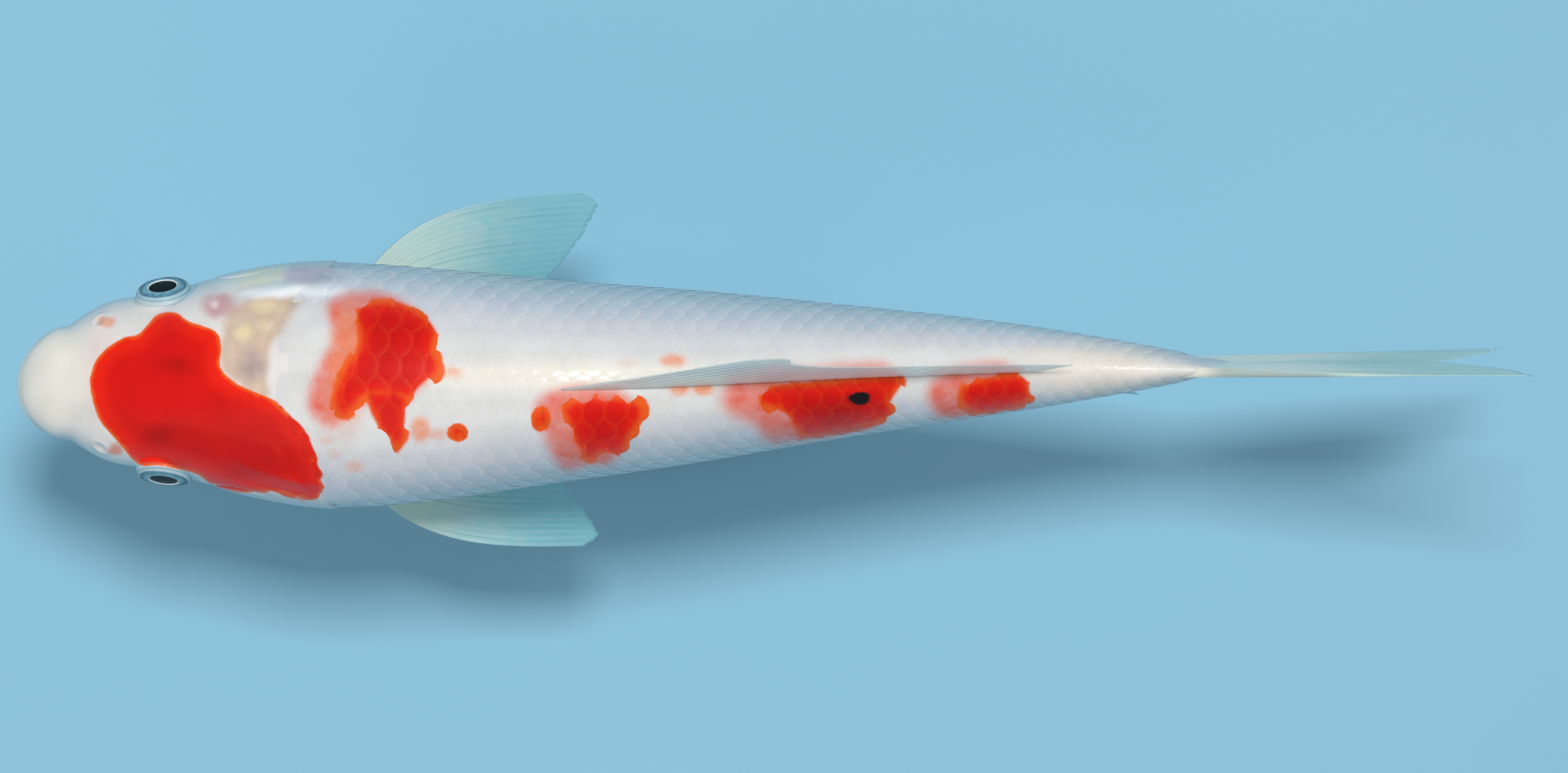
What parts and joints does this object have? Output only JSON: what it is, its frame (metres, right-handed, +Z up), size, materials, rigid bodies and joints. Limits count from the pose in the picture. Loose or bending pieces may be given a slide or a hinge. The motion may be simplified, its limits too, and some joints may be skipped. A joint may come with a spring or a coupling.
{
  "type": "koi carp display model",
  "caption": "Life-size still koi carp, red and white, swimming level with its fins eased back, on a plain stand with a flat base.",
  "frame": {"origin": "middle of the stand base's underside, on the floor, under the fish's centre of mass", "axes": "+Z up, the fish lies along X with its snout towards -X and its tail towards +X, and its left side faces -Y"},
  "size_m": [0.3198, 0.0768, 0.1511],
  "materials": {
    "skin": "wet-looking white skin with red patches and clear coat",
    "fin": "thin translucent fin with fine rays",
    "eye": "dark glossy eye with a pale ring",
    "stand_board": "plain satin white",
    "stand_steel": "satin"
  },
  "bodies": {
    "root": {"anal_fin": "fin", "barbel_lip_left": "skin", "barbel_lip_right": "skin", "barbel_mouth_left": "skin", "barbel_mouth_right": "skin", "dorsal_fin": "fin", "eye_left": "eye", "eye_right": "eye", "gill_cover_left": "skin", "gill_cover_right": "skin", "head": "skin", "lower_jaw": "skin", "pectoral_fin_left": "fin", "pectoral_fin_right": "fin", "pelvic_fin_left": "fin", "pelvic_fin_right": "fin", "stand_base": "stand_board", "stand_rod_front": "stand_steel", "stand_rod_rear": "stand_steel", "tail_fin_lower": "fin", "tail_fin_upper": "fin", "tail_stalk": "skin", "trunk_front": "skin", "trunk_middle": "skin", "trunk_rear": "skin", "upper_lip": "skin"}
  },
  "joints": []
}
